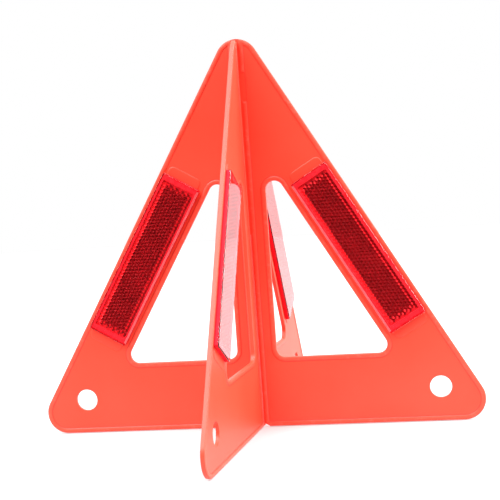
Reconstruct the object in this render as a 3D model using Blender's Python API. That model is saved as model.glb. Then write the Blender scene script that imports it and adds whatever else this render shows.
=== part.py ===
"""Slot-together warning triangle: two crossed triangular panels with four reflector lenses.

Each panel is one thin moulded plate with two windows, a slot on its centre line, a raised rim
along every edge and, on its front face, a lens on each arm over a low pad. The fixed panel
stands along Y, turned by a few degrees within the play of the slots, with its slot open at the
top and its lenses to the right. The sliding panel stands along X with its slot open at the
bottom and its lenses to the front, and lifts straight up off the fixed one. Units are metres,
+Z is up, and the origin is on the standing surface, where the two panels cross.
"""

import math

import bmesh
import bpy
from mathutils import Matrix, Vector

MM = 0.001
COLLECTION_NAME = "warning_triangle"

# Panel outline, measured in the panel's own plane: u from the centre line, v from the bottom
HALF_BASE = 152.0 * MM          # centre line to the sharp base corner
SHARP_HEIGHT = 259.7 * MM       # bottom edge to the sharp apex
APEX_RADIUS = 13.6 * MM
CORNER_RADIUS = 13.3 * MM
WINDOW_INNER = 12.7 * MM        # centre line to the window
WINDOW_BOTTOM = 44.2 * MM
ARM_WIDTH = 33.5 * MM           # sloping edge to the window, square to the edge
WINDOW_RADIUS = 5.7 * MM
HOLE_CENTRE = (114.8 * MM, 21.4 * MM)
HOLE_RADIUS = 6.85 * MM

# Panel section
RIM_THICKNESS = 3.0 * MM
WEB_THICKNESS = 2.2 * MM
EDGE_RIM = 2.2 * MM             # width of the rim along the outline
WINDOW_RIM = 2.2 * MM
RAIL_INNER = 1.9 * MM           # guide rails beside the centre line
RAIL_OUTER = 4.9 * MM
RAIL_GAP = (207.0 * MM, 225.0 * MM)

# Slots
FIT_GAP = 0.3 * MM
SLOT_PLAY = 0.4 * MM            # room on each side of the other panel's web
SLOT_HALF_WIDTH = WEB_THICKNESS / 2 + SLOT_PLAY
PLAY_TURN = math.radians(3.7)   # how far off square that play lets the fixed panel stand
MOUTH_WIDTH = 3.8 * MM          # lead-in chamfer at the slot's open end
MOUTH_DEPTH = 2.4 * MM

# Reflector lenses, placed by s along the sloping edge and d square to it
LENS_CENTRE = (138.1 * MM, 15.7 * MM)
LENS_LENGTH = 112.2 * MM
LENS_WIDTH = 26.2 * MM
LENS_THICKNESS = 2.7 * MM
LENS_RADIUS = 1.2 * MM
LENS_BEVEL = 0.7 * MM
PRISM_LENGTH = 103.4 * MM       # hollow behind the lens that holds the prisms
PRISM_WIDTH = 20.4 * MM
PRISM_DEPTH = 1.5 * MM
PAD_LENGTH = 124.4 * MM
PAD_WIDTH = 22.6 * MM
PAD_RADIUS = 3.5 * MM

ARC_STEP = math.radians(12)
CUT_OVERSHOOT = 4.0 * MM
WELD_DISTANCE = 0.00001
FLAT_ANGLE = math.radians(0.5)

EDGE_LENGTH = math.hypot(HALF_BASE, SHARP_HEIGHT)
EDGE_UP = Vector((-HALF_BASE, SHARP_HEIGHT)) / EDGE_LENGTH      # along the sloping edge
EDGE_IN = Vector((-SHARP_HEIGHT, -HALF_BASE)) / EDGE_LENGTH     # square to it, inwards
ROUND_HEIGHT = SHARP_HEIGHT - APEX_RADIUS * (EDGE_LENGTH / HALF_BASE - 1)
SLOT_END = ROUND_HEIGHT / 2     # height where the two slots meet


def edge_point(s, d):
    """Panel point at s along the right sloping edge and d inwards from it."""
    return Vector((HALF_BASE, 0.0)) + EDGE_UP * s + EDGE_IN * d


def edge_height(u, d):
    """Height v of the line that runs d inside the right sloping edge, at distance u."""
    inset = d * EDGE_LENGTH / HALF_BASE
    return SHARP_HEIGHT * (1 - u / HALF_BASE) - inset


def edge_reach(v, d):
    """Distance u of the line that runs d inside the right sloping edge, at height v."""
    inset = d * EDGE_LENGTH / SHARP_HEIGHT
    return HALF_BASE * (1 - v / SHARP_HEIGHT) - inset


def arc(centre, radius, start, end):
    """Points on an arc, both ends included."""
    count = max(2, math.ceil(abs(end - start) / ARC_STEP))
    angles = [start + (end - start) * i / count for i in range(count + 1)]
    return [centre + Vector((math.cos(a), math.sin(a))) * radius for a in angles]


def rounded_loop(corners):
    """Closed outline through (point, radius) corners, each one rounded by its own arc."""
    points = []
    for i, (corner, radius) in enumerate(corners):
        if radius == 0:
            points.append(Vector(corner))
            continue
        corner = Vector(corner)
        to_last = (Vector(corners[i - 1][0]) - corner).normalized()
        to_next = (Vector(corners[(i + 1) % len(corners)][0]) - corner).normalized()
        half_angle = math.acos(max(-1.0, min(1.0, to_last.dot(to_next)))) / 2
        centre = corner + (to_last + to_next).normalized() * radius / math.sin(half_angle)
        tangent = radius / math.tan(half_angle)
        first = corner + to_last * tangent - centre
        last = corner + to_next * tangent - centre
        start = math.atan2(first.y, first.x)
        turn = first.angle_signed(last)
        points += arc(centre, radius, start, start - turn)
    return points


def mirrored(loop):
    """The loop on the other side of the centre line."""
    return [Vector((-p.x, p.y)) for p in reversed(loop)]


def rectangle_loop(centre, length, width, radius):
    """Rounded rectangle on the right arm, its length along the sloping edge."""
    corners = []
    for along, across in ((-1, -1), (1, -1), (1, 1), (-1, 1)):
        s = centre[0] + along * length / 2
        d = centre[1] + across * width / 2
        corners.append((edge_point(s, d), radius))
    return rounded_loop(corners)


def window_loop(grow):
    """Outline of the right window, grown outwards by grow."""
    inner = WINDOW_INNER - grow
    bottom = WINDOW_BOTTOM - grow
    offset = ARM_WIDTH - grow
    radius = WINDOW_RADIUS + grow
    corners = [
        ((inner, bottom), radius),
        ((edge_reach(bottom, offset), bottom), radius),
        ((inner, edge_height(inner, offset)), radius),
    ]
    return rounded_loop(corners)


def recess_corners():
    """Corners of the thin web on the right half, inside the rim and outside the guide rail."""
    return [
        ((RAIL_OUTER, EDGE_RIM), 0),
        ((edge_reach(EDGE_RIM, EDGE_RIM), EDGE_RIM), CORNER_RADIUS - EDGE_RIM),
        ((RAIL_OUTER, edge_height(RAIL_OUTER, EDGE_RIM)), 0),
    ]


def web_loops(rails_have_gap, has_pads):
    """Outlines of everything that is thinned to the web on one face of a panel."""
    bottom = -CUT_OVERSHOOT
    top = SHARP_HEIGHT
    window_rim = window_loop(WINDOW_RIM)
    islands = [window_rim, mirrored(window_rim)]
    if has_pads:
        pad = rectangle_loop(LENS_CENTRE, PAD_LENGTH, PAD_WIDTH, PAD_RADIUS)
        islands += [pad, mirrored(pad)]
    recess = rounded_loop(recess_corners())
    if not rails_have_gap:
        groove = [Vector((-RAIL_INNER, bottom)), Vector((RAIL_INNER, bottom)),
                  Vector((RAIL_INNER, top)), Vector((-RAIL_INNER, top))]
        return [groove, recess, mirrored(recess)] + islands
    low, high = RAIL_GAP
    right_half = [Vector((RAIL_INNER, bottom)), Vector((RAIL_INNER, low)), Vector((RAIL_OUTER, low))]
    right_half += recess
    right_half += [Vector((RAIL_OUTER, high)), Vector((RAIL_INNER, high)), Vector((RAIL_INNER, top))]
    return [right_half + mirrored(right_half)] + islands


def outline_loop(slot_at_top):
    """Outer outline of a panel, with its slot and the slot's lead-in chamfers."""
    half = SLOT_HALF_WIDTH
    mouth = half + MOUTH_WIDTH
    corner_right = ((HALF_BASE, 0.0), CORNER_RADIUS)
    corner_left = ((-HALF_BASE, 0.0), CORNER_RADIUS)
    if not slot_at_top:
        end = SLOT_END + FIT_GAP / 2
        notch = [
            ((-mouth, 0.0), 0), ((-half, MOUTH_DEPTH), 0), ((-half, end), 0),
            ((half, end), 0), ((half, MOUTH_DEPTH), 0), ((mouth, 0.0), 0),
        ]
        apex = [((0.0, SHARP_HEIGHT), APEX_RADIUS)]
        return rounded_loop([corner_left] + notch + [corner_right] + apex)
    end = SLOT_END - FIT_GAP / 2
    apex_centre = Vector((0.0, ROUND_HEIGHT - APEX_RADIUS))
    edge_angle = math.atan2(-EDGE_IN.y, -EDGE_IN.x)
    mouth_angle = math.acos(mouth / APEX_RADIUS)
    crown = arc(apex_centre, APEX_RADIUS, edge_angle, mouth_angle)
    throat = ROUND_HEIGHT - MOUTH_DEPTH
    notch = [Vector((half, throat)), Vector((half, end)), Vector((-half, end)), Vector((-half, throat))]
    base = rounded_loop([((-HALF_BASE, 0.0), CORNER_RADIUS), ((HALF_BASE, 0.0), CORNER_RADIUS),
                         ((0.0, SHARP_HEIGHT), 0)])[:-1]
    return base + crown + notch + mirrored(crown)


def hole_loop():
    """Outline of the right corner hole, turned so that no point is level with the next."""
    first = ARC_STEP / 4
    return arc(Vector(HOLE_CENTRE), HOLE_RADIUS, first, first + math.tau)[:-1]


def slab_mesh(name, loops, low, high):
    """Upright slab from outlines in (u, v): u along X, v along Z, between low and high along Y."""
    curve = bpy.data.curves.new(name, "CURVE")
    curve.dimensions = "2D"
    curve.fill_mode = "BOTH"
    curve.extrude = (high - low) / 2
    for loop in loops:
        spline = curve.splines.new("POLY")
        spline.points.add(len(loop) - 1)
        for point, (u, v) in zip(spline.points, loop):
            point.co = (u, v, 0.0, 1.0)
        spline.use_cyclic_u = True
    flat = bpy.data.objects.new(name, curve)
    bpy.context.scene.collection.objects.link(flat)
    evaluated = flat.evaluated_get(bpy.context.evaluated_depsgraph_get())
    mesh = bpy.data.meshes.new_from_object(evaluated)
    bpy.data.objects.remove(flat)
    upright = Matrix.Translation((0.0, (low + high) / 2, 0.0)) @ Matrix.Rotation(math.pi / 2, 4, "X")
    mesh.transform(upright)
    work = bmesh.new()
    work.from_mesh(mesh)
    bmesh.ops.remove_doubles(work, verts=work.verts, dist=WELD_DISTANCE)
    bmesh.ops.dissolve_limit(work, angle_limit=FLAT_ANGLE, verts=work.verts, edges=work.edges)
    bmesh.ops.recalc_face_normals(work, faces=work.faces)
    work.to_mesh(mesh)
    work.free()
    return mesh


def new_material(name, colour, roughness, transmission=0.0):
    """Principled material with one plain colour."""
    material = bpy.data.materials.new(name)
    material.use_nodes = True
    shader = material.node_tree.nodes["Principled BSDF"]
    shader.inputs["Base Color"].default_value = (*colour, 1.0)
    shader.inputs["Roughness"].default_value = roughness
    shader.inputs["Metallic"].default_value = 0.0
    shader.inputs["Transmission Weight"].default_value = transmission
    return material


def add_object(name, mesh, collection, material=None):
    """Object for a mesh, in a collection."""
    mesh.name = name
    obj = bpy.data.objects.new(name, mesh)
    collection.objects.link(obj)
    if material:
        mesh.materials.clear()
        mesh.materials.append(material)
    return obj


def add_cutter(target, name, mesh, cutters):
    """Hidden cutter that a Boolean modifier takes out of the target."""
    cutter = add_object(name, mesh, cutters)
    cutter.hide_render = True
    cutter.display_type = "WIRE"
    cutter.parent = target
    modifier = target.modifiers.new(name, "BOOLEAN")
    modifier.operation = "DIFFERENCE"
    modifier.solver = "EXACT"
    modifier.object = cutter


def build_panel(name, slot_at_top, parts, cutters, material):
    """One triangular panel, standing along X, with rims and rails, and lens pads in front."""
    window = window_loop(0.0)
    hole = hole_loop()
    loops = [outline_loop(slot_at_top), window, mirrored(window), hole, mirrored(hole)]
    blank = slab_mesh(name, loops, -RIM_THICKNESS / 2, RIM_THICKNESS / 2)
    panel = add_object(name, blank, parts, material)
    floor = WEB_THICKNESS / 2
    reach = RIM_THICKNESS / 2 + CUT_OVERSHOOT
    front_web = web_loops(rails_have_gap=not slot_at_top, has_pads=True)
    back_web = web_loops(rails_have_gap=not slot_at_top, has_pads=False)
    add_cutter(panel, f"{name}_front_web_cut", slab_mesh("web", front_web, -reach, -floor), cutters)
    add_cutter(panel, f"{name}_back_web_cut", slab_mesh("web", back_web, floor, reach), cutters)
    return panel


def bevel_front_edges(mesh, front):
    """Bevel the edges round a slab's front face, which stands at front along Y."""
    work = bmesh.new()
    work.from_mesh(mesh)
    on_face = [e for e in work.edges if all(abs(v.co.y - front) < WELD_DISTANCE for v in e.verts)]
    rim = [e for e in on_face if any(abs(f.normal.y) < 0.5 for f in e.link_faces)]
    bmesh.ops.bevel(work, geom=rim, offset=LENS_BEVEL, segments=2, profile=0.5, affect="EDGES")
    work.to_mesh(mesh)
    work.free()


def build_lens(name, panel, on_right_arm, parts, cutters, material):
    """Lens on the front of one arm of a panel, with bevelled edges and a hollow behind."""
    back = -RIM_THICKNESS / 2 - FIT_GAP
    front = back - LENS_THICKNESS
    shell = rectangle_loop(LENS_CENTRE, LENS_LENGTH, LENS_WIDTH, LENS_RADIUS)
    hollow = rectangle_loop(LENS_CENTRE, PRISM_LENGTH, PRISM_WIDTH, LENS_RADIUS)
    if not on_right_arm:
        shell = mirrored(shell)
        hollow = mirrored(hollow)
    mesh = slab_mesh(name, [shell], front, back)
    bevel_front_edges(mesh, front)
    lens = add_object(name, mesh, parts, material)
    lens.parent = panel
    cut = slab_mesh("hollow", [hollow], back - PRISM_DEPTH, back + CUT_OVERSHOOT)
    add_cutter(lens, f"{name}_hollow_cut", cut, cutters)


def main():
    for obj in list(bpy.data.objects):
        bpy.data.objects.remove(obj)
    parts = bpy.data.collections.new(COLLECTION_NAME)
    cutters = bpy.data.collections.new(f"{COLLECTION_NAME}_cutters")
    for collection in (parts, cutters):
        bpy.context.scene.collection.children.link(collection)

    fixed_plastic = new_material("fixed_panel_plastic", (0.90, 0.075, 0.045), 0.30)
    sliding_plastic = new_material("sliding_panel_plastic", (0.90, 0.070, 0.040), 0.30)
    lens_plastic = new_material("reflector_plastic", (0.55, 0.006, 0.012), 0.08, 0.6)

    fixed = build_panel("fixed_panel", True, parts, cutters, fixed_plastic)
    build_lens("rear_wing_reflector", fixed, True, parts, cutters, lens_plastic)
    build_lens("front_wing_reflector", fixed, False, parts, cutters, lens_plastic)
    fixed.rotation_euler.z = math.pi / 2 - PLAY_TURN

    sliding = build_panel("sliding_panel", False, parts, cutters, sliding_plastic)
    build_lens("right_wing_reflector", sliding, True, parts, cutters, lens_plastic)
    build_lens("left_wing_reflector", sliding, False, parts, cutters, lens_plastic)


main()
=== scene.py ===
"""Looks of the slot-together warning triangle: two moulded panels and four reflector lenses.

Each panel is one closed mesh with a rounded bead along every edge, guide rails beside its centre
line and faint moulding marks. Its front face has a soft-edged pad under each lens. Each lens is a
clear cover over a tray and a field of corner-cube prisms. Panel shapes are in millimetres, in the
panel's own plane: u from the centre line and v up. On an arm, s runs along the sloping edge and d
inwards from it.
"""

import math

import bmesh
import bpy
import numpy as np
from mathutils import Matrix, Vector, geometry


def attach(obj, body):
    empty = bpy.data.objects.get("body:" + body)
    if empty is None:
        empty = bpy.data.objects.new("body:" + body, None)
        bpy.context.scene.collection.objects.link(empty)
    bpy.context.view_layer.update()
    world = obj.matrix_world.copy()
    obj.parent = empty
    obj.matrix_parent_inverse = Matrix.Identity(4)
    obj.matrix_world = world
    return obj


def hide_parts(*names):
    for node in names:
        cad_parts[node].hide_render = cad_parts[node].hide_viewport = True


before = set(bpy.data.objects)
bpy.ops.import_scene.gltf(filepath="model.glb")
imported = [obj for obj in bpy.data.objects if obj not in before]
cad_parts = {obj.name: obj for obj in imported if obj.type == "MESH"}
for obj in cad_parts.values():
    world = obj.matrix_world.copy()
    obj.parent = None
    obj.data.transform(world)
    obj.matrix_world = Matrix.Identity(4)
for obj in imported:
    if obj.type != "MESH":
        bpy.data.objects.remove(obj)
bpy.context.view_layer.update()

MM = 0.001

# Panel outline and section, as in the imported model
HALF_BASE = 152.0
SHARP_HEIGHT = 259.7
APEX_RADIUS = 13.6
CORNER_RADIUS = 13.3
WINDOW_INNER = 12.7
WINDOW_BOTTOM = 44.2
ARM_WIDTH = 33.5
WINDOW_RADIUS = 5.7
HOLE_CENTRE = (114.8, 21.4)
HOLE_RADIUS = 6.85
WEB_HALF = 1.1
RAIL_INNER = 1.9
RAIL_GAP = (207.0, 225.0)
FIT_GAP = 0.3
SLOT_HALF_WIDTH = 1.5
MOUTH_WIDTH = 3.8
MOUTH_DEPTH = 2.4
PLAY_TURN = math.radians(3.7)   # how far off square the fixed panel stands

# Rounded bead along every edge: half an ellipse that starts a little below the web's face
BEAD_HALF = 1.5
BEAD_BASE = 0.95
BEAD_RISE = 0.55
BEAD_ANGLES = (0, 20, 42, 66, 90, 114, 138)
CREASE_SHADE_WIDTH = 0.55             # width of the painted shade line at a bead's foot
BEAD_CREASE = math.radians(32)  # edges that turn more than this stay sharp
RAIL_END = 1.4                  # length over which a rail fades out at its gap
RAIL_FADE = (1.0, 0.6, 0.3, 0.1, 0.0)
HOLE_FILLET = 0.35
FILLET_STEPS = (0.0, 0.08, 0.35, 1.0)

# Pads under the lenses, and the marks of the gate and of the ejector pins
LENS_CENTRE = (138.1, 15.7)
PAD_SIZE = (124.4, 22.6)
PAD_RADIUS = 3.5
PAD_RISE = 0.4
PAD_EDGE = 0.7
PAD_STEPS = (0.0, 0.06, 0.25, 0.55, 1.0)
GATE_HEIGHT = 216.0
GATE_RADIUS = 6.5
EJECTOR_CENTRE = (21.0, 22.0)
EJECTOR_RADIUS = 5.0
MARK_DEPTH = 0.06
MARK_EDGE = 0.25

# Lens: a clear cover, a tray below it and the prisms in the tray
COVER_SIZE = (112.2, 26.2)
COVER_RADIUS = 1.2
COVER_FOOT = 1.46
COVER_TOP = 4.5
COVER_EDGE = 0.6
COVER_WALL = 0.16
COVER_INSIDE = 3.9
COVER_ANGLES = (0, 22.5, 45, 67.5, 90)
TRAY_INSET = 0.24
TRAY_FOOT = 1.5
TRAY_TOP = 3.8
TRAY_FLOOR = 2.2
TRAY_CHAMFER = 1.1
TRAY_TOP_RADIUS = 0.2
TRAY_SOFT = 0.12                # softening of the edge round the tray's floor
LENS_CREASE = math.radians(40)
LONG_FACE = 10.0                # a lens face with more area than this runs along a whole side
FIELD_SIZE = (104.0, 21.4)
CELL_PITCH = 2.4
CELL_COLUMNS = 42
CELL_ROWS = 10
CELL_STEP = 0.55
CELL_FOOT = 2.25
CELL_LIFT = 0.1                 # of the cells' low points above their foot

EDGE_LENGTH = math.hypot(HALF_BASE, SHARP_HEIGHT)
EDGE_UP = Vector((-HALF_BASE, SHARP_HEIGHT)) / EDGE_LENGTH
EDGE_IN = Vector((-SHARP_HEIGHT, -HALF_BASE)) / EDGE_LENGTH
ROUND_HEIGHT = SHARP_HEIGHT - APEX_RADIUS * (EDGE_LENGTH / HALF_BASE - 1)
SLOT_END = ROUND_HEIGHT / 2
TOUCH = 1e-4                    # distance below which a point counts as on an edge
ARC_STEP = math.radians(6)
CIRCLE_STEP = math.radians(8)
CIRCLE_TURN = math.radians(1.5)

# Camera, as calibrated on the shape of the object
LENS_LENGTH = 93.6
AZIMUTH = 0.1725
ELEVATION = 0.0765
ROLL = -0.0710
DISTANCE = 0.83374
AIM_UP = 0.11316
SENSOR_WIDTH = 36.0
NEAR_CLIP = 0.01

# Stage, in metres and degrees
FLOOR_SIZE = (3.2, 2.0)
FLOOR_CENTRE_Y = 0.72
FLOOR_LEVEL = -0.0005
FLOOR_GLOW = 0.34
FLOOR_GREYS = (0.35, 0.37)
TOP_STRENGTH = 2.3
TOP_WIDTH = 70
TOP_LEAN = 12
SOFTBOXES = (                   # name, azimuth, elevation, distance, size, irradiance
    ("left_light", -64, 34, 2.4, 2.0, 1.6),
    ("front_light", -32, 50, 2.4, 1.4, 2.2),
    ("right_light", 96, 34, 2.6, 2.1, 7.0))
WORLD_SIDES = (-0.85, 0.0, 0.03, 0.7)       # from and to a direction, from and to a strength
WORLD_BEHIND = (0.2, 0.9, 0.0, 0.8)
WORLD_OVERHEAD = (0.08, 0.55, 0.0, 1.0)

# Colours: the two that a noise mixes, or one alone
PLASTIC = ((0.92, 0.050, 0.020), (0.90, 0.060, 0.028))
# lighter plastic, for real scuffs on the beads and for the painted highlight on every bead crest
PLASTIC_WORN_AND_HIGHLIGHT = (0.95, 0.19, 0.14)
# painted shade for the line along each bead's foot
PLASTIC_CREASE_SHADE = (0.55, 0.020, 0.010)
COVER_TINT = ((1.0, 0.56, 0.58), (1.0, 0.50, 0.52))
COVER_SHADOW = (0.95, 0.70, 0.72)
BORDER_RED = ((0.93, 0.062, 0.094), (0.90, 0.050, 0.080))
# near-white painted highlight for one long chamfer of each tray
PAINTED_EDGE_HIGHLIGHT = ((0.98, 0.92, 0.92), (0.96, 0.82, 0.83))
RIM_RED = ((0.74, 0.012, 0.030), (0.68, 0.010, 0.026))
# prism cells painted dark, for the dark surroundings their corner cubes reflect
PRISM_PAINTED_DARK = ((0.29, 0.013, 0.020), (0.23, 0.010, 0.015))
# painted highlight for the rows of prism cells that catch light
LIT_CELL_RED = ((0.95, 0.050, 0.070), (0.88, 0.030, 0.050))
PLASTIC_IOR = 1.49
GRAIN_DEPTH = 0.000012          # depths of fine relief, in metres
SCRATCH_DEPTH = 0.000001


# ---- outlines ----

def edge_point(s, d):
    """Panel point at s along the right sloping edge and d inwards from it."""
    return Vector((HALF_BASE, 0.0)) + EDGE_UP * s + EDGE_IN * d


def arc(centre, radius, start, end, step=ARC_STEP):
    """Points on an arc, both ends included."""
    count = max(2, math.ceil(abs(end - start) / step))
    angles = [start + (end - start) * i / count for i in range(count + 1)]
    return [Vector(centre) + Vector((math.cos(a), math.sin(a))) * radius for a in angles]


def circle(centre, radius):
    """Closed circle, turned so that no point is level with the next."""
    return arc(centre, radius, CIRCLE_TURN, CIRCLE_TURN + math.tau, CIRCLE_STEP)[:-1]


def rounded_loop(corners):
    """Closed outline through (point, radius) corners, each one rounded by its own arc."""
    points = []
    for i, (corner, radius) in enumerate(corners):
        corner = Vector(corner)
        to_last = (Vector(corners[i - 1][0]) - corner).normalized()
        to_next = (Vector(corners[(i + 1) % len(corners)][0]) - corner).normalized()
        half_angle = math.acos(max(-1.0, min(1.0, to_last.dot(to_next)))) / 2
        centre = corner + (to_last + to_next).normalized() * radius / math.sin(half_angle)
        tangent = radius / math.tan(half_angle)
        first = corner + to_last * tangent - centre
        last = corner + to_next * tangent - centre
        start = math.atan2(first.y, first.x)
        points += arc(centre, radius, start, start - first.angle_signed(last))
    return points


def offset_loop(points, distance):
    """Counter-clockwise outline moved inwards by a distance, with mitred corners."""
    moved = []
    for i, point in enumerate(points):
        before = (point - points[i - 1]).normalized()
        after = (points[(i + 1) % len(points)] - point).normalized()
        normal_before = Vector((-before.y, before.x))
        normal_after = Vector((-after.y, after.x))
        middle = (normal_before + normal_after).normalized()
        moved.append(point + middle * distance / middle.dot(normal_before))
    return moved


def mirrored(loop):
    """The loop on the other side of the centre line."""
    return [Vector((-p.x, p.y)) for p in reversed(loop)]


def arm_rectangle(size, radius):
    """Rounded rectangle on the right arm around the lens centre."""
    corners = []
    for along, across in ((-1, -1), (1, -1), (1, 1), (-1, 1)):
        point = edge_point(LENS_CENTRE[0] + along * size[0] / 2, LENS_CENTRE[1] + across * size[1] / 2)
        corners.append((point, radius))
    return rounded_loop(corners)


def window_loop(grow):
    """Outline of the right window, grown outwards by grow."""
    inner = WINDOW_INNER - grow
    bottom = WINDOW_BOTTOM - grow
    inset = (ARM_WIDTH - grow) * EDGE_LENGTH
    reach = HALF_BASE * (1 - bottom / SHARP_HEIGHT) - inset / SHARP_HEIGHT
    height = SHARP_HEIGHT * (1 - inner / HALF_BASE) - inset / HALF_BASE
    radius = WINDOW_RADIUS + grow
    return rounded_loop([((inner, bottom), radius), ((reach, bottom), radius), ((inner, height), radius)])


def mouth_at(u):
    """How deep the slot's lead-in chamfer is at distance u from the centre line."""
    return MOUTH_DEPTH * (1 - (u - SLOT_HALF_WIDTH) / MOUTH_WIDTH)


def outer_edge(slot_at_top):
    """Outer edge of the right half, from the foot of its guide rail round to the rail's top."""
    mouth = SLOT_HALF_WIDTH + MOUTH_WIDTH
    apex_centre = Vector((0.0, ROUND_HEIGHT - APEX_RADIUS))
    edge_angle = math.atan2(-EDGE_IN.y, -EDGE_IN.x)
    base_corner = ((HALF_BASE, 0.0), CORNER_RADIUS)
    triangle = rounded_loop([((0.0, 0.0), 1.0), base_corner, ((0.0, SHARP_HEIGHT), 1.0)])
    corner = [p for p in triangle if p.x > HALF_BASE / 2]       # the other two are left out
    if slot_at_top:
        crown = arc(apex_centre, APEX_RADIUS, edge_angle, math.acos(mouth / APEX_RADIUS))
        drop = ROUND_HEIGHT - crown[-1].y
        lead = MOUTH_DEPTH - (MOUTH_DEPTH - drop) * (RAIL_INNER - SLOT_HALF_WIDTH) / MOUTH_WIDTH
        return [Vector((RAIL_INNER, 0.0))] + corner + crown + [Vector((RAIL_INNER, ROUND_HEIGHT - lead))]
    crown = arc(apex_centre, APEX_RADIUS, edge_angle, math.acos(RAIL_INNER / APEX_RADIUS))
    return [Vector((RAIL_INNER, mouth_at(RAIL_INNER))), Vector((mouth, 0.0))] + corner + crown


def rail_points():
    """Points down the guide rail's inner edge, close together where the rail fades at its gap."""
    low, high = RAIL_GAP
    levels = [high + RAIL_END * share for share in RAIL_FADE]
    levels += [low - RAIL_END * share for share in reversed(RAIL_FADE)]
    return [Vector((RAIL_INNER, level)) for level in levels]


def centre_lines(slot_at_top, edge):
    """The two open lines that close the centre strip: across its plain end and round its slot."""
    half = SLOT_HALF_WIDTH
    if slot_at_top:
        end = SLOT_END - FIT_GAP / 2
        throat = ROUND_HEIGHT - MOUTH_DEPTH
        plain = [edge[0]]
        slot = [edge[-1], Vector((half, throat)), Vector((half, end))]
    else:
        end = SLOT_END + FIT_GAP / 2
        plain = [edge[-1], Vector((0.0, ROUND_HEIGHT))]
        slot = [edge[0], Vector((half, MOUTH_DEPTH)), Vector((half, end))]
    other = [Vector((-p.x, p.y)) for p in reversed(plain) if p.x > 0]
    return plain + other, slot + [Vector((-p.x, p.y)) for p in reversed(slot)]


# ---- panels ----

def distance_to_line(points, line, closed):
    """Distance from each point to a line through the given points."""
    start = np.array([tuple(p) for p in line])
    end = np.roll(start, -1, axis=0)
    if not closed:
        start = start[:-1]
        end = end[:-1]
    along = end - start
    rel = points[:, None, :] - start[None]
    share = np.clip((rel * along).sum(-1) / (along * along).sum(-1), 0.0, 1.0)
    gap = rel - share[..., None] * along
    return np.sqrt((gap * gap).sum(-1)).min(axis=1)


def quarter(share):
    """Rise from 0 to 1 along a quarter of an ellipse."""
    share = np.clip(share, 0.0, 1.0)
    return np.sqrt(1.0 - (1.0 - share) ** 2)


def folded(points):
    """The points with those of the left half turned over onto the right half."""
    return np.stack([np.abs(points[:, 0]), points[:, 1]], axis=1)


def edge_distances(points, slot_at_top):
    """Distances of folded points from the outer edge, from the window and from the rail's inside."""
    to_edge = distance_to_line(points, outer_edge(slot_at_top), closed=False)
    to_window = distance_to_line(points, window_loop(0.0), closed=True)
    return to_edge, to_window, points[:, 0] - RAIL_INNER


def arm_depth(points, size, radius):
    """How far inside the right arm's rounded rectangle each folded point is."""
    corner = np.array(tuple(edge_point(*LENS_CENTRE)))
    rel = points - corner
    along = np.abs(rel @ np.array(tuple(EDGE_UP))) - (size[0] / 2 - radius)
    across = np.abs(rel @ np.array(tuple(EDGE_IN))) - (size[1] / 2 - radius)
    outside = np.hypot(np.maximum(along, 0.0), np.maximum(across, 0.0))
    return radius - outside - np.minimum(np.maximum(along, across), 0.0)


def surface_height(points, slot_at_top, has_pads):
    """How far one face of a panel stands off its middle at each (u, v) point."""
    half = folded(points)
    to_edge, to_window, to_rail = edge_distances(half, slot_at_top)
    nearest = np.minimum(np.minimum(to_edge, to_window), np.maximum(to_rail, 0.0))
    bulge = np.sqrt(np.clip(1.0 - (nearest / BEAD_HALF - 1.0) ** 2, 0.0, 1.0))
    rise = np.maximum(BEAD_BASE + BEAD_RISE * bulge - WEB_HALF, 0.0)
    if not slot_at_top:
        outside_gap = np.maximum(RAIL_GAP[0] - half[:, 1], half[:, 1] - RAIL_GAP[1])
        on_rail = to_rail <= to_edge
        rise = np.where(on_rail, rise * quarter(outside_gap / RAIL_END), rise)
    height = WEB_HALF + rise
    if has_pads:
        height += PAD_RISE * quarter(arm_depth(half, PAD_SIZE, PAD_RADIUS) / PAD_EDGE)
    from_hole = np.hypot(*(half - np.array(HOLE_CENTRE)).T) - HOLE_RADIUS
    height -= HOLE_FILLET * (1.0 - quarter(from_hole / HOLE_FILLET))
    marks = [(EJECTOR_CENTRE, EJECTOR_RADIUS)]
    if not slot_at_top:
        marks.append(((0.0, GATE_HEIGHT), GATE_RADIUS))
    for centre, radius in marks:
        within = radius - np.hypot(*(half - np.array(centre)).T)
        height -= MARK_DEPTH * np.clip(within / MARK_EDGE, 0.0, 1.0)
    on_outside = (np.minimum(to_edge, to_window) < TOUCH) & (half[:, 0] > RAIL_INNER - TOUCH)
    return np.where(on_outside, BEAD_BASE, height)


def bead_width():
    """Distance from an edge to the line where its bead meets the web."""
    return BEAD_HALF * (1 + math.cos(math.asin((WEB_HALF - BEAD_BASE) / BEAD_RISE)))


def crease_shade_line(points, slot_at_top):
    """1 on the line along the foot of the beads, where the painted shade goes, 0 elsewhere."""
    nearest = np.minimum.reduce(edge_distances(folded(points), slot_at_top))
    return np.abs(nearest - bead_width()) < CREASE_SHADE_WIDTH / 3


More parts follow.
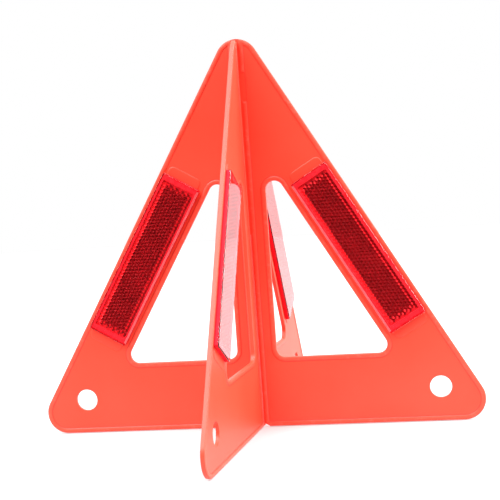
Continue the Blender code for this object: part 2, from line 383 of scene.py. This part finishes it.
def panel_lines(slot_at_top):
    """All the lines a panel's faces are divided along, as (points, closed)."""
    edge = outer_edge(slot_at_top)
    half = edge + ([] if slot_at_top else rail_points())
    offsets = [BEAD_HALF * (1 - math.cos(math.radians(a))) for a in BEAD_ANGLES]
    # the last two loops bound the painted shade line at the beads' foot
    offsets += [bead_width(), bead_width() + CREASE_SHADE_WIDTH]
    loops = []
    for offset in offsets:
        loops.append(offset_loop(half, offset))
        loops.append(window_loop(offset))
    for share in PAD_STEPS:
        inset = PAD_EDGE * share
        size = (PAD_SIZE[0] - 2 * inset, PAD_SIZE[1] - 2 * inset)
        loops.append(arm_rectangle(size, PAD_RADIUS - inset))
    for share in FILLET_STEPS:
        loops.append(circle(HOLE_CENTRE, HOLE_RADIUS + HOLE_FILLET * share))
    for inset in (0.0, MARK_EDGE):
        loops.append(circle(EJECTOR_CENTRE, EJECTOR_RADIUS - inset))
    lines = [(loop, True) for loop in loops] + [(mirrored(loop), True) for loop in loops]
    if not slot_at_top:
        lines += [(circle((0.0, GATE_HEIGHT), GATE_RADIUS - inset), True) for inset in (0.0, MARK_EDGE)]
    return lines + [(line, False) for line in centre_lines(slot_at_top, edge)]


def divide_plane(lines):
    """Constrained triangles between the given lines, as (points, triangles)."""
    points = []
    edges = []
    for line, closed in lines:
        first = len(points)
        points += [Vector(p) for p in line]
        edges += [(i, i + 1) for i in range(first, len(points) - 1)]
        if closed:
            edges.append((len(points) - 1, first))
    result = geometry.delaunay_2d_cdt(points, edges, [], 1, TOUCH)
    return np.array([tuple(p) for p in result[0]]), [tuple(face) for face in result[2]]


def panel_mesh(name, slot_at_top):
    """One panel standing along X, as a closed mesh in metres."""
    points, triangles = divide_plane(panel_lines(slot_at_top))
    centres = folded(np.array([points[list(t)].mean(axis=0) for t in triangles]))
    window = [tuple(p) for p in window_loop(0.0)]
    in_hole = np.hypot(*(centres - np.array(HOLE_CENTRE)).T) < HOLE_RADIUS
    kept = [t for t, centre, hole in zip(triangles, centres, in_hole)
            if not hole and not inside(centre, window)]
    in_front = surface_height(points, slot_at_top, has_pads=True)
    behind = surface_height(points, slot_at_top, has_pads=False)
    count = len(points)
    front = [(u * MM, -h * MM, v * MM) for (u, v), h in zip(points, in_front)]
    back = [(u * MM, h * MM, v * MM) for (u, v), h in zip(points, behind)]
    faces = list(kept) + [tuple(i + count for i in reversed(t)) for t in kept]
    directed = {(t[k], t[(k + 1) % 3]) for t in kept for k in range(3)}
    for start, end in sorted(directed):
        if (end, start) not in directed:
            faces.append((end, start, start + count, end + count))
    mesh = bpy.data.meshes.new(name)
    mesh.from_pydata(front + back, [], faces)
    # Bead crest mask: it drives the real scuffs and the painted highlight along every crest
    wear_and_crest_highlight = mesh.attributes.new("wear_and_crest_highlight", "FLOAT", "POINT")
    height = np.concatenate([in_front, behind])
    rubbed = np.clip((height - WEB_HALF) / (BEAD_BASE + BEAD_RISE - WEB_HALF), 0.0, 1.0)
    rubbed *= np.tile(arm_depth(folded(points), PAD_SIZE, PAD_RADIUS) < 0.0, 2)
    wear_and_crest_highlight.data.foreach_set("value", rubbed.astype(np.float32))
    # Painted shade line along the foot of every bead
    crease = mesh.attributes.new("painted_crease_shade", "FLOAT", "POINT")
    crease.data.foreach_set("value", np.tile(crease_shade_line(points, slot_at_top), 2).astype(np.float32))
    drop_loose(mesh)
    shade(mesh, BEAD_CREASE)
    return mesh


def inside(point, loop):
    """Whether a point is inside a closed outline."""
    x, y = point
    crossings = 0
    for (x0, y0), (x1, y1) in zip(loop, loop[1:] + loop[:1]):
        if (y0 > y) != (y1 > y) and x < x0 + (y - y0) * (x1 - x0) / (y1 - y0):
            crossings += 1
    return crossings % 2 == 1


def drop_loose(mesh):
    """Drop the points that no face uses."""
    work = bmesh.new()
    work.from_mesh(mesh)
    loose = [v for v in work.verts if not v.link_faces]
    bmesh.ops.delete(work, geom=loose, context="VERTS")
    work.to_mesh(mesh)
    work.free()


def shade(mesh, crease):
    """Shade a mesh smooth, with sharp edges where its faces turn by more than the crease angle."""
    mesh.shade_smooth()
    mesh.set_sharp_from_angle(angle=crease)


# ---- lenses ----

def rectangle_ring(size, radius, height):
    """Rounded rectangle around the lens centre at a height above the panel's middle, in 3-D."""
    half_s = size[0] / 2
    half_d = size[1] / 2
    corners = [((-half_s, -half_d), radius), ((half_s, -half_d), radius),
               ((half_s, half_d), radius), ((-half_s, half_d), radius)]
    return [(p.x * MM, p.y * MM, height * MM) for p in rounded_loop(corners)]


def stacked_mesh(name, rings):
    """Closed mesh through a stack of equal rings, with both ends capped."""
    mesh = bpy.data.meshes.new(name)
    size = len(rings[0])
    points = [p for ring in rings for p in ring]
    faces = [tuple(reversed(range(size)))]
    for level in range(len(rings) - 1):
        low = level * size
        for i in range(size):
            j = (i + 1) % size
            faces.append((low + i, low + j, low + size + j, low + size + i))
    faces.append(tuple(range(len(points) - size, len(points))))
    mesh.from_pydata(points, [], faces)
    return mesh


def ring_faces(mesh, rings, first, count):
    """The faces of a stacked mesh from ring first up over the next count rings."""
    size = len(rings[0])
    return mesh.polygons[1 + first * size:1 + (first + count) * size]


def shrunk(size, inset):
    """Rectangle size made smaller by an inset all round."""
    return (size[0] - 2 * inset, size[1] - 2 * inset)


def cover_mesh():
    """Cover: a clear cap with rounded front edges on a deep red wall, hollow and open at its foot."""
    hollow = shrunk(COVER_SIZE, COVER_WALL)
    rings = [rectangle_ring(hollow, COVER_RADIUS - COVER_WALL, COVER_INSIDE),
             rectangle_ring(hollow, COVER_RADIUS - COVER_WALL, COVER_FOOT),
             rectangle_ring(COVER_SIZE, COVER_RADIUS, COVER_FOOT)]
    for angle in COVER_ANGLES:
        inset = COVER_EDGE * (1 - math.cos(math.radians(angle)))
        height = COVER_TOP - COVER_EDGE * (1 - math.sin(math.radians(angle)))
        rings.append(rectangle_ring(shrunk(COVER_SIZE, inset), COVER_RADIUS - inset, height))
    mesh = stacked_mesh("cover", rings)
    for face in ring_faces(mesh, rings, 0, 3):
        face.material_index = 1
    shade(mesh, LENS_CREASE)
    return mesh


def tray_mesh(side):
    """Tray below the cover: a border round a sunken floor, with a painted highlight on the chamfer of one
    long side.
    """
    outer = shrunk(COVER_SIZE, TRAY_INSET)
    radius = COVER_RADIUS - TRAY_INSET
    rings = [rectangle_ring(outer, radius, TRAY_FOOT),
             rectangle_ring(outer, radius, TRAY_TOP - TRAY_CHAMFER),
             rectangle_ring(shrunk(outer, TRAY_CHAMFER), TRAY_TOP_RADIUS, TRAY_TOP),
             rectangle_ring(shrunk(FIELD_SIZE, -2 * TRAY_SOFT), radius, TRAY_TOP),
             rectangle_ring(shrunk(FIELD_SIZE, -TRAY_SOFT), radius, TRAY_TOP - TRAY_SOFT),
             rectangle_ring(FIELD_SIZE, radius, TRAY_FLOOR)]
    mesh = stacked_mesh("tray", rings)
    # Painted highlight on the chamfer of one long side
    for face in ring_faces(mesh, rings, 1, 1):
        if face.area > LONG_FACE * MM * MM and face.center.y * side > FIELD_SIZE[1] * MM / 2:
            face.material_index = 1
    shade(mesh, LENS_CREASE)
    return mesh


def prism_mesh():
    """Field of hexagonal corner-cube cells, each of three rhombic faces, closed below; the cells along
    some of its edges take a painted highlight.
    """
    radius = CELL_PITCH / math.sqrt(3)
    row_pitch = CELL_PITCH * math.sqrt(3) / 2
    low = CELL_FOOT + CELL_LIFT
    work = bmesh.new()
    found = {}

    def vertex(x, y, z):
        key = (round(x, 3), round(y, 3))
        if key not in found:
            found[key] = work.verts.new((x * MM, y * MM, z * MM))
        return found[key]

    for row in range(CELL_ROWS):
        y = (row - (CELL_ROWS - 1) / 2) * row_pitch
        shift = CELL_PITCH / 4 * (1 if row % 2 else -1)
        for column in range(CELL_COLUMNS):
            x = (column - (CELL_COLUMNS - 1) / 2) * CELL_PITCH + shift
            rim = []
            for k in range(6):
                angle = math.radians(30 + 60 * k)
                level = low + CELL_STEP * (1 + k % 2)
                rim.append(vertex(x + radius * math.cos(angle), y + radius * math.sin(angle), level))
            middle = vertex(x, y, low)
            for k in (0, 2, 4):
                face = work.faces.new((middle, rim[k], rim[k + 1], rim[(k + 2) % 6]))
                # Painted highlight on the cells along some edges of the field
                edge_cell = row == CELL_ROWS - 1 or (column in (0, CELL_COLUMNS - 1) and k == 0)
                face.material_index = 1 if edge_cell or (row == 0 and k == 0) else 0
    border = [e for e in work.edges if e.is_boundary]
    side = bmesh.ops.extrude_edge_only(work, edges=border)["geom"]
    for item in side:
        if isinstance(item, bmesh.types.BMVert):
            item.co.z = CELL_FOOT * MM
    open_edges = [e for e in work.edges if e.is_boundary]
    bmesh.ops.contextual_create(work, geom=open_edges)
    bmesh.ops.recalc_face_normals(work, faces=work.faces)
    mesh = bpy.data.meshes.new("prisms")
    work.to_mesh(mesh)
    work.free()
    return mesh


def lens_frame(arm):
    """Placement of a lens on the front of a panel along X: its right arm is 1, its left arm -1."""
    middle = edge_point(*LENS_CENTRE) * MM
    along = Vector((arm * EDGE_UP.x, 0.0, EDGE_UP.y))
    across = Vector((EDGE_IN.x, 0.0, arm * EDGE_IN.y))
    place = Matrix((along, across, along.cross(across))).transposed().to_4x4()
    place.translation = Vector((arm * middle.x, 0.0, middle.y))
    return place


# ---- materials ----

def new_material(name):
    """Material with its tree, its Principled shader and the object coordinates."""
    material = bpy.data.materials.new(name)
    material.use_nodes = True
    tree = material.node_tree
    shader = tree.nodes["Principled BSDF"]
    coordinates = tree.nodes.new("ShaderNodeTexCoord")
    return material, tree, shader, coordinates.outputs["Object"]


def noise(tree, coordinates, scale, detail=2.0, roughness=0.5):
    """Noise from 0 to 1; scale is in cells a metre."""
    node = tree.nodes.new("ShaderNodeTexNoise")
    node.inputs["Scale"].default_value = scale
    node.inputs["Detail"].default_value = detail
    node.inputs["Roughness"].default_value = roughness
    tree.links.new(coordinates, node.inputs["Vector"])
    return node.outputs["Fac"]


def spread(tree, value, low, high, to_low, to_high):
    """Value mapped from one range to another."""
    node = tree.nodes.new("ShaderNodeMapRange")
    for name, number in (("From Min", low), ("From Max", high), ("To Min", to_low), ("To Max", to_high)):
        node.inputs[name].default_value = number
    tree.links.new(value, node.inputs["Value"])
    return node.outputs["Result"]


def mix_colour(tree, share, first, second):
    """Mix of two colours, each one a tuple or a socket."""
    node = tree.nodes.new("ShaderNodeMix")
    node.data_type = "RGBA"
    for socket, colour in ((6, first), (7, second)):
        if isinstance(colour, tuple):
            node.inputs[socket].default_value = (*colour, 1.0)
        else:
            tree.links.new(colour, node.inputs[socket])
    tree.links.new(share, node.inputs[0])
    return node.outputs[2]


def combine(tree, operation, first, second):
    """Two values through one maths operation."""
    node = tree.nodes.new("ShaderNodeMath")
    node.operation = operation
    tree.links.new(first, node.inputs[0])
    tree.links.new(second, node.inputs[1])
    return node.outputs[0]


def add_bump(tree, shader, height, depth):
    """Fine relief on a shader's normal, depth in metres."""
    node = tree.nodes.new("ShaderNodeBump")
    node.inputs["Distance"].default_value = depth
    node.inputs["Strength"].default_value = 1.0
    tree.links.new(height, node.inputs["Height"])
    tree.links.new(node.outputs["Normal"], shader.inputs["Normal"])


def panel_plastic():
    """Moulded red-orange plastic: flow clouds, fine grain, scuffs rubbed lighter on the beads, a painted
    highlight along every bead crest and a painted shade line at each bead's foot.
    """
    material, tree, shader, where = new_material("panel_plastic")
    clouds = spread(tree, noise(tree, where, 14.0, 3.0), 0.35, 0.65, 0.0, 1.0)
    grain = noise(tree, where, 1500.0, 3.0, 0.6)
    scuffs = spread(tree, noise(tree, where, 260.0, 4.0, 0.7), 0.52, 0.72, 0.0, 1.0)
    wear_and_crest_highlight = tree.nodes.new("ShaderNodeAttribute")
    wear_and_crest_highlight.attribute_name = "wear_and_crest_highlight"
    rubbed = combine(tree, "MULTIPLY", wear_and_crest_highlight.outputs["Fac"], scuffs)
    body = mix_colour(tree, clouds, *PLASTIC)
    # Painted highlight: every bead crest is made a little lighter, scuffed or not
    crest_highlight_share = spread(tree, wear_and_crest_highlight.outputs["Fac"], 0.0, 1.0, 0.0, 0.08)
    crest = mix_colour(tree, crest_highlight_share, body, PLASTIC_WORN_AND_HIGHLIGHT)
    worn = mix_colour(tree, spread(tree, rubbed, 0.0, 1.0, 0.0, 0.35), crest, PLASTIC_WORN_AND_HIGHLIGHT)
    # Painted shade: a thin dark line along the foot of every bead
    line = tree.nodes.new("ShaderNodeAttribute")
    line.attribute_name = "painted_crease_shade"
    crease_shade_share = spread(tree, line.outputs["Fac"], 0.0, 1.0, 0.0, 0.85)
    tree.links.new(mix_colour(tree, crease_shade_share, worn, PLASTIC_CREASE_SHADE), shader.inputs["Base Color"])
    tree.links.new(spread(tree, rubbed, 0.0, 1.0, 0.42, 0.50), shader.inputs["Roughness"])
    shader.inputs["IOR"].default_value = PLASTIC_IOR
    add_bump(tree, shader, grain, GRAIN_DEPTH)
    return material


def lens_cover():
    """Clear pink-tinted lens plastic with hair-fine scratches, which lets the lamps through."""
    material, tree, shader, where = new_material("lens_cover")
    scratches = noise(tree, where, 420.0, 5.0, 0.75)
    tree.links.new(mix_colour(tree, noise(tree, where, 30.0), *COVER_TINT), shader.inputs["Base Color"])
    tree.links.new(spread(tree, scratches, 0.4, 0.7, 0.015, 0.06), shader.inputs["Roughness"])
    shader.inputs["Transmission Weight"].default_value = 1.0
    shader.inputs["IOR"].default_value = PLASTIC_IOR
    add_bump(tree, shader, scratches, SCRATCH_DEPTH)
    through = tree.nodes.new("ShaderNodeBsdfTransparent")
    through.inputs["Color"].default_value = (*COVER_SHADOW, 1.0)
    rays = tree.nodes.new("ShaderNodeLightPath")
    choose = tree.nodes.new("ShaderNodeMixShader")
    tree.links.new(rays.outputs["Is Shadow Ray"], choose.inputs[0])
    tree.links.new(shader.outputs[0], choose.inputs[1])
    tree.links.new(through.outputs[0], choose.inputs[2])
    tree.links.new(choose.outputs[0], tree.nodes["Material Output"].inputs["Surface"])
    return material


def lens_plastic(name, colours, roughness, shine=0.5):
    """Solid lens plastic, a little uneven in depth of colour."""
    material, tree, shader, where = new_material(name)
    depth = spread(tree, noise(tree, where, 90.0, 3.0), 0.35, 0.65, 0.0, 1.0)
    tree.links.new(mix_colour(tree, depth, *colours), shader.inputs["Base Color"])
    shader.inputs["Specular IOR Level"].default_value = shine
    tree.links.new(spread(tree, noise(tree, where, 300.0), 0.3, 0.7, roughness, roughness + 0.12),
                   shader.inputs["Roughness"])
    shader.inputs["IOR"].default_value = PLASTIC_IOR
    return material


# ---- pieces ----

def add_piece(name, mesh, materials, place, body, node):
    """Object for a mesh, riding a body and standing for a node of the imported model."""
    piece = bpy.data.objects.new(name, mesh)
    bpy.context.scene.collection.objects.link(piece)
    if not mesh.materials:
        for material in materials:
            mesh.materials.append(material)
    piece.matrix_world = place
    weighted = piece.modifiers.new("weighted_normals", "WEIGHTED_NORMAL")
    weighted.keep_sharp = True
    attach(piece, body)
    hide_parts(node)


def add_panel(node, slot_at_top, place, body, material):
    """One panel as a single piece."""
    mesh = panel_mesh(node + "_shape", slot_at_top)
    add_piece(node + "_body", mesh, [material], place, body, node)


def add_lens(node, arm, place, body, meshes, materials):
    """Cover, tray and prisms of one lens."""
    placed = place @ lens_frame(arm)
    for part, mesh in meshes.items():
        add_piece(f"{node}_{part}", mesh, materials[part], placed, body, node)


def build_object():
    """Two panels, with a lens on the front of each arm."""
    plastic = panel_plastic()
    border = lens_plastic("lens_border", BORDER_RED, roughness=0.22)
    # painted highlight for the tray's chamfer
    bright = lens_plastic("lens_painted_edge_highlight", PAINTED_EDGE_HIGHLIGHT, roughness=0.15)
    rim = lens_plastic("lens_rim", RIM_RED, roughness=0.4, shine=0.1)
    # dark paint on the prisms stands in for the dark they reflect
    prisms = lens_plastic("lens_prisms_painted_dark", PRISM_PAINTED_DARK, roughness=0.3, shine=0.08)
    # painted highlight on the edge cells
    lit = lens_plastic("lens_lit_cells", LIT_CELL_RED, roughness=0.3)
    materials = {"cover": [lens_cover(), rim], "tray": [border, bright], "prisms": [prisms, lit]}
    meshes = {"cover": cover_mesh(), "prisms": prism_mesh()}
    trays = {arm: tray_mesh(arm) for arm in (-1, 1)}
    fixed_place = Matrix.Rotation(math.pi / 2 - PLAY_TURN, 4, "Z")
    sliding_place = Matrix.Identity(4)
    add_panel("fixed_panel", True, fixed_place, "fixed_half", plastic)
    add_panel("sliding_panel", False, sliding_place, "sliding_half", plastic)
    lenses = (("rear_wing_reflector", 1, fixed_place, "fixed_half"),
              ("front_wing_reflector", -1, fixed_place, "fixed_half"),
              ("right_wing_reflector", 1, sliding_place, "sliding_half"),
              ("left_wing_reflector", -1, sliding_place, "sliding_half"))
    for node, arm, place, body in lenses:
        add_lens(node, arm, place, body, dict(meshes, tray=trays[arm]), materials)


# ---- stage ----

def add_floor():
    """Pale floor that ends a little in front of the object and runs far behind it."""
    bpy.ops.mesh.primitive_plane_add(size=1.0, location=(0.0, FLOOR_CENTRE_Y, FLOOR_LEVEL))
    floor = bpy.context.object
    floor.name = "floor"
    floor.scale = (FLOOR_SIZE[0], FLOOR_SIZE[1], 1.0)
    material, tree, shader, where = new_material("floor_white")
    greys = [(grey, grey, grey) for grey in FLOOR_GREYS]
    tree.links.new(mix_colour(tree, noise(tree, where, 8.0), *greys), shader.inputs["Base Color"])
    shader.inputs["Roughness"].default_value = 0.9
    shader.inputs["Specular IOR Level"].default_value = 0.0
    shader.inputs["Emission Color"].default_value = (1.0, 1.0, 1.0, 1.0)
    shader.inputs["Emission Strength"].default_value = FLOOR_GLOW
    floor.data.materials.append(material)


def add_world():
    """White backdrop; as a light it is dark low in front of the object, bright behind and above it."""
    world = bpy.data.worlds.new("studio")
    bpy.context.scene.world = world
    world.use_nodes = True
    tree = world.node_tree
    tree.nodes.clear()
    coordinates = tree.nodes.new("ShaderNodeTexCoord")
    split = tree.nodes.new("ShaderNodeSeparateXYZ")
    tree.links.new(coordinates.outputs["Generated"], split.inputs[0])
    sides = spread(tree, split.outputs["Y"], *WORLD_SIDES)
    behind = spread(tree, split.outputs["Y"], *WORLD_BEHIND)
    overhead = spread(tree, split.outputs["Z"], *WORLD_OVERHEAD)
    lit = tree.nodes.new("ShaderNodeBackground")
    total = combine(tree, "ADD", combine(tree, "ADD", sides, behind), overhead)
    tree.links.new(total, lit.inputs["Strength"])
    seen = tree.nodes.new("ShaderNodeBackground")
    seen.inputs["Color"].default_value = (1.0, 1.0, 1.0, 1.0)
    rays = tree.nodes.new("ShaderNodeLightPath")
    choose = tree.nodes.new("ShaderNodeMixShader")
    tree.links.new(rays.outputs["Is Camera Ray"], choose.inputs[0])
    tree.links.new(lit.outputs[0], choose.inputs[1])
    tree.links.new(seen.outputs[0], choose.inputs[2])
    output = tree.nodes.new("ShaderNodeOutputWorld")
    tree.links.new(choose.outputs[0], output.inputs["Surface"])


def add_softbox(name, azimuth, elevation, distance, size, irradiance):
    """Square soft light aimed at the object; azimuth 0 is behind the camera, positive to the right."""
    light = bpy.data.lights.new(name, "AREA")
    light.size = size
    light.energy = irradiance * math.pi * distance ** 2
    lamp = bpy.data.objects.new(name, light)
    az = math.radians(azimuth)
    el = math.radians(elevation)
    toward = Vector((math.sin(az) * math.cos(el), -math.cos(az) * math.cos(el), math.sin(el)))
    lamp.location = toward * distance
    lamp.rotation_euler = toward.to_track_quat("Z", "Y").to_euler()
    bpy.context.scene.collection.objects.link(lamp)


def add_top_light():
    """Broad even light from overhead, leaning a little towards the front."""
    light = bpy.data.lights.new("top_light", "SUN")
    light.energy = TOP_STRENGTH
    light.angle = math.radians(TOP_WIDTH)
    lamp = bpy.data.objects.new("top_light", light)
    lamp.rotation_euler = (math.radians(TOP_LEAN), 0.0, 0.0)
    bpy.context.scene.collection.objects.link(lamp)


def add_camera():
    """Camera in front of the object, a little to its right and above, rolled by a few degrees."""
    back = Vector((math.sin(AZIMUTH) * math.cos(ELEVATION), -math.cos(AZIMUTH) * math.cos(ELEVATION),
                   math.sin(ELEVATION)))
    right = Vector((math.cos(AZIMUTH), math.sin(AZIMUTH), 0.0))
    up = right.cross(-back)
    camera = bpy.data.objects.new("camera", bpy.data.cameras.new("camera"))
    camera.data.lens = LENS_LENGTH
    camera.data.sensor_width = SENSOR_WIDTH
    camera.data.clip_start = NEAR_CLIP
    rolled_right = right * math.cos(ROLL) + up * math.sin(ROLL)
    rolled_up = up * math.cos(ROLL) - right * math.sin(ROLL)
    place = Matrix((rolled_right, rolled_up, back)).transposed().to_4x4()
    place.translation = up * AIM_UP + back * DISTANCE
    camera.matrix_world = place
    bpy.context.scene.collection.objects.link(camera)
    bpy.context.scene.camera = camera


build_object()
add_floor()
add_world()
add_top_light()
for softbox in SOFTBOXES:
    add_softbox(*softbox)
add_camera()
bpy.context.scene.view_settings.view_transform = "Standard"

bpy.context.view_layer.update()
